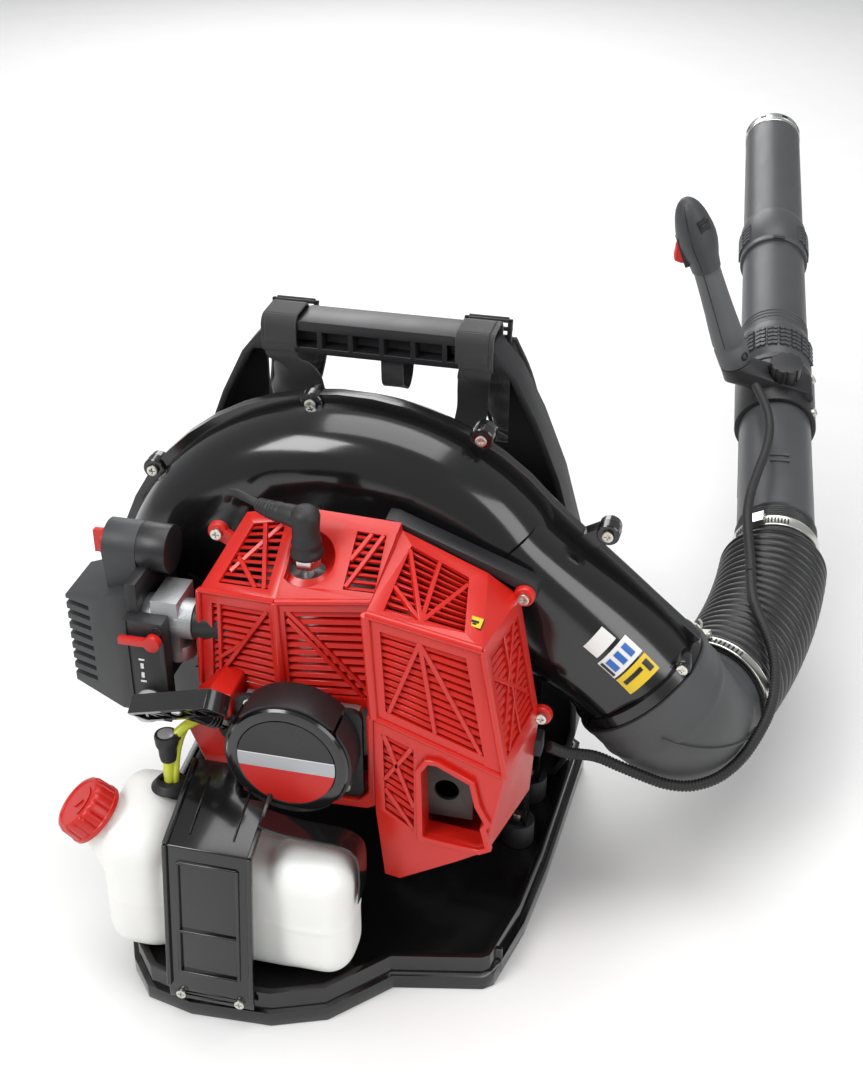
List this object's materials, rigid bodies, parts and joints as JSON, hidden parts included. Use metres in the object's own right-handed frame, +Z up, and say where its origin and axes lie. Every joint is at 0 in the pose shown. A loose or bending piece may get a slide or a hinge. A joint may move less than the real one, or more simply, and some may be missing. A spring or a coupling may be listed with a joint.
{
  "type": "backpack leaf blower",
  "caption": "Petrol backpack leaf blower: engine and scroll fan on a frame with harness, corrugated hose, throttle handle and a three-piece blower pipe.",
  "frame": {"origin": "centre of the base's underside pad, on the ground", "axes": "+Z up, +Y forwards from the engine to the harness and along the blower pipe, +X to the side of the fan's outlet"},
  "size_m": [0.5547, 1.2489, 0.4245],
  "materials": {
    "gloss_black": "gloss",
    "black_plastic": "satin",
    "dark_grey": "matte",
    "pipe_grey": "satin",
    "grip_grey": "matte",
    "red_cover": "satin",
    "red_trim": "satin",
    "tank_white": "translucent moulded",
    "rubber": "matte",
    "hose_rubber": "satin",
    "fabric": "woven",
    "cast_alloy": "cast",
    "steel": "machined",
    "plated": "zinc plated",
    "clear_bulb": "translucent",
    "filter_media": "pleated",
    "fuel_hose": "translucent",
    "rope": "braided"
  },
  "bodies": {
    "machine": {"base_tray": "gloss_black", "back_frame": "black_plastic", "back_pad": "fabric", "shoulder_pad_left": "fabric", "shoulder_pad_right": "fabric", "harness_webbing": "fabric", "strap_buckles": "black_plastic", "rubber_mounts": "rubber", "fan_case_front": "gloss_black", "fan_case_rear": "gloss_black", "casing_screws": "steel", "outlet_elbow": "dark_grey", "elbow_clamp": "plated", "cable_holder": "black_plastic", "hose_rear": "hose_rubber", "crankcase": "cast_alloy", "engine_cylinder": "cast_alloy", "piston": "steel", "muffler": "steel", "carburettor": "cast_alloy", "intake_insulator": "black_plastic", "ignition_coil": "black_plastic", "engine_cover": "red_cover", "heat_shield": "black_plastic", "spark_plug": "steel", "plug_boot": "rubber", "plug_lead": "rubber", "starter_housing": "gloss_black", "starter_rope": "rope", "filter_base": "black_plastic", "filter_element": "filter_media", "filter_cover": "dark_grey", "fuel_tank": "tank_white", "fuel_grommet": "rubber", "fuel_lines": "fuel_hose", "tank_strap": "gloss_black", "cable_gland": "rubber", "conduit_lower": "rubber"},
    "rotor": {"crankshaft": "steel", "flywheel": "cast_alloy", "fan_impeller": "black_plastic"},
    "pulley": {"starter_pulley": "black_plastic"},
    "pull_handle": {"starter_handle": "black_plastic"},
    "choke": {"choke_lever": "red_trim"},
    "filter_knob": {"filter_knob": "red_trim"},
    "cap": {"fuel_cap": "red_trim"},
    "primer": {"primer_bulb": "clear_bulb"},
    "hose_middle": {"hose_mid": "hose_rubber", "conduit_upper": "rubber"},
    "pipe_arm": {"hose_front": "hose_rubber", "hose_clamp": "plated", "swivel_pipe": "pipe_grey", "grip_clamp": "black_plastic", "control_grip": "grip_grey"},
    "clamp_knob": {"clamp_knob": "black_plastic"},
    "trigger": {"throttle_trigger": "red_trim"},
    "switch": {"stop_switch": "black_plastic"},
    "middle_pipe": {"mid_pipe": "pipe_grey"},
    "end_pipe": {"end_pipe": "pipe_grey", "nozzle_ring": "steel"}
  },
  "joints": [
    {"name": "crank_turn", "type": "hinge", "parent": "machine", "child": "rotor", "pos_m": [0, 0.05, 0.195], "axis": [0, 1, 0], "continuous": true},
    {"name": "starter_pull", "type": "slide", "parent": "machine", "child": "pull_handle", "axis": [-0.5953, -0.4995, 0.6293], "range_m": [0, 0.8], "stiffness_N_per_m": 10, "springref_m": -0.6, "deforming": ["starter_rope"]},
    {"name": "pulley_turn", "type": "hinge", "parent": "machine", "child": "pulley", "pos_m": [0, -0.119, 0.195], "axis": [0, 1, 0], "range_deg": [0, 2110]},
    {"name": "choke_turn", "type": "hinge", "parent": "machine", "child": "choke", "pos_m": [-0.11, -0.089, 0.249], "axis": [0, 1, 0], "range_deg": [0, 70]},
    {"name": "filter_knob_turn", "type": "hinge", "parent": "machine", "child": "filter_knob", "pos_m": [-0.16, -0.034, 0.294], "axis": [-1, 0, 0], "range_deg": [0, 90]},
    {"name": "cap_turn", "type": "hinge", "parent": "machine", "child": "cap", "pos_m": [-0.13938, -0.14778, 0.13327], "axis": [-0.6288, -0.2289, 0.7431], "range_deg": [0, 360]},
    {"name": "primer_push", "type": "slide", "parent": "machine", "child": "primer", "axis": [0, 1, 0], "range_m": [0, 0.004], "stiffness_N_per_m": 400, "springref_m": -0.002},
    {"name": "hose_yaw", "type": "hinge", "parent": "machine", "child": "hose_middle", "pos_m": [0.289, 0.168, 0.112], "axis": [0, 0, 1], "range_deg": [-20, 20], "deforming": ["hose_rear", "conduit_lower"]},
    {"name": "hose_pitch", "type": "hinge", "parent": "hose_middle", "child": "pipe_arm", "pos_m": [0.315, 0.325, 0.112], "axis": [0.9959, 0.0906, 0], "range_deg": [-15, 30], "deforming": ["hose_front", "conduit_upper"]},
    {"name": "knob_turn", "type": "hinge", "parent": "pipe_arm", "child": "clamp_knob", "pos_m": [0.30143, 0.54134, 0.20539], "axis": [0.0225, -0.2477, 0.9686], "range_deg": [0, 540]},
    {"name": "trigger_squeeze", "type": "hinge", "parent": "pipe_arm", "child": "trigger", "pos_m": [0.20401, 0.51897, 0.35669], "axis": [0.2563, -0.9661, -0.0308], "range_deg": [0, 10], "stiffness_Nm_per_rad": 0.3, "springref_deg": -11.46},
    {"name": "switch_slide", "type": "slide", "parent": "pipe_arm", "child": "switch", "axis": [-0.3333, -0.1183, 0.9354], "range_m": [0, 0.003]},
    {"name": "middle_pipe_twist", "type": "hinge", "parent": "pipe_arm", "child": "middle_pipe", "pos_m": [0.28466, 0.67038, 0.20161], "axis": [-0.0878, 0.9646, 0.2487], "range_deg": [0, 30]},
    {"name": "end_pipe_twist", "type": "hinge", "parent": "middle_pipe", "child": "end_pipe", "pos_m": [0.26711, 0.8633, 0.25134], "axis": [-0.0878, 0.9646, 0.2487], "range_deg": [0, 30]}
  ],
  "couplings": [
    {"joint": "pulley_turn", "follows": "starter_pull", "rad_per_m": 45.87}
  ]
}
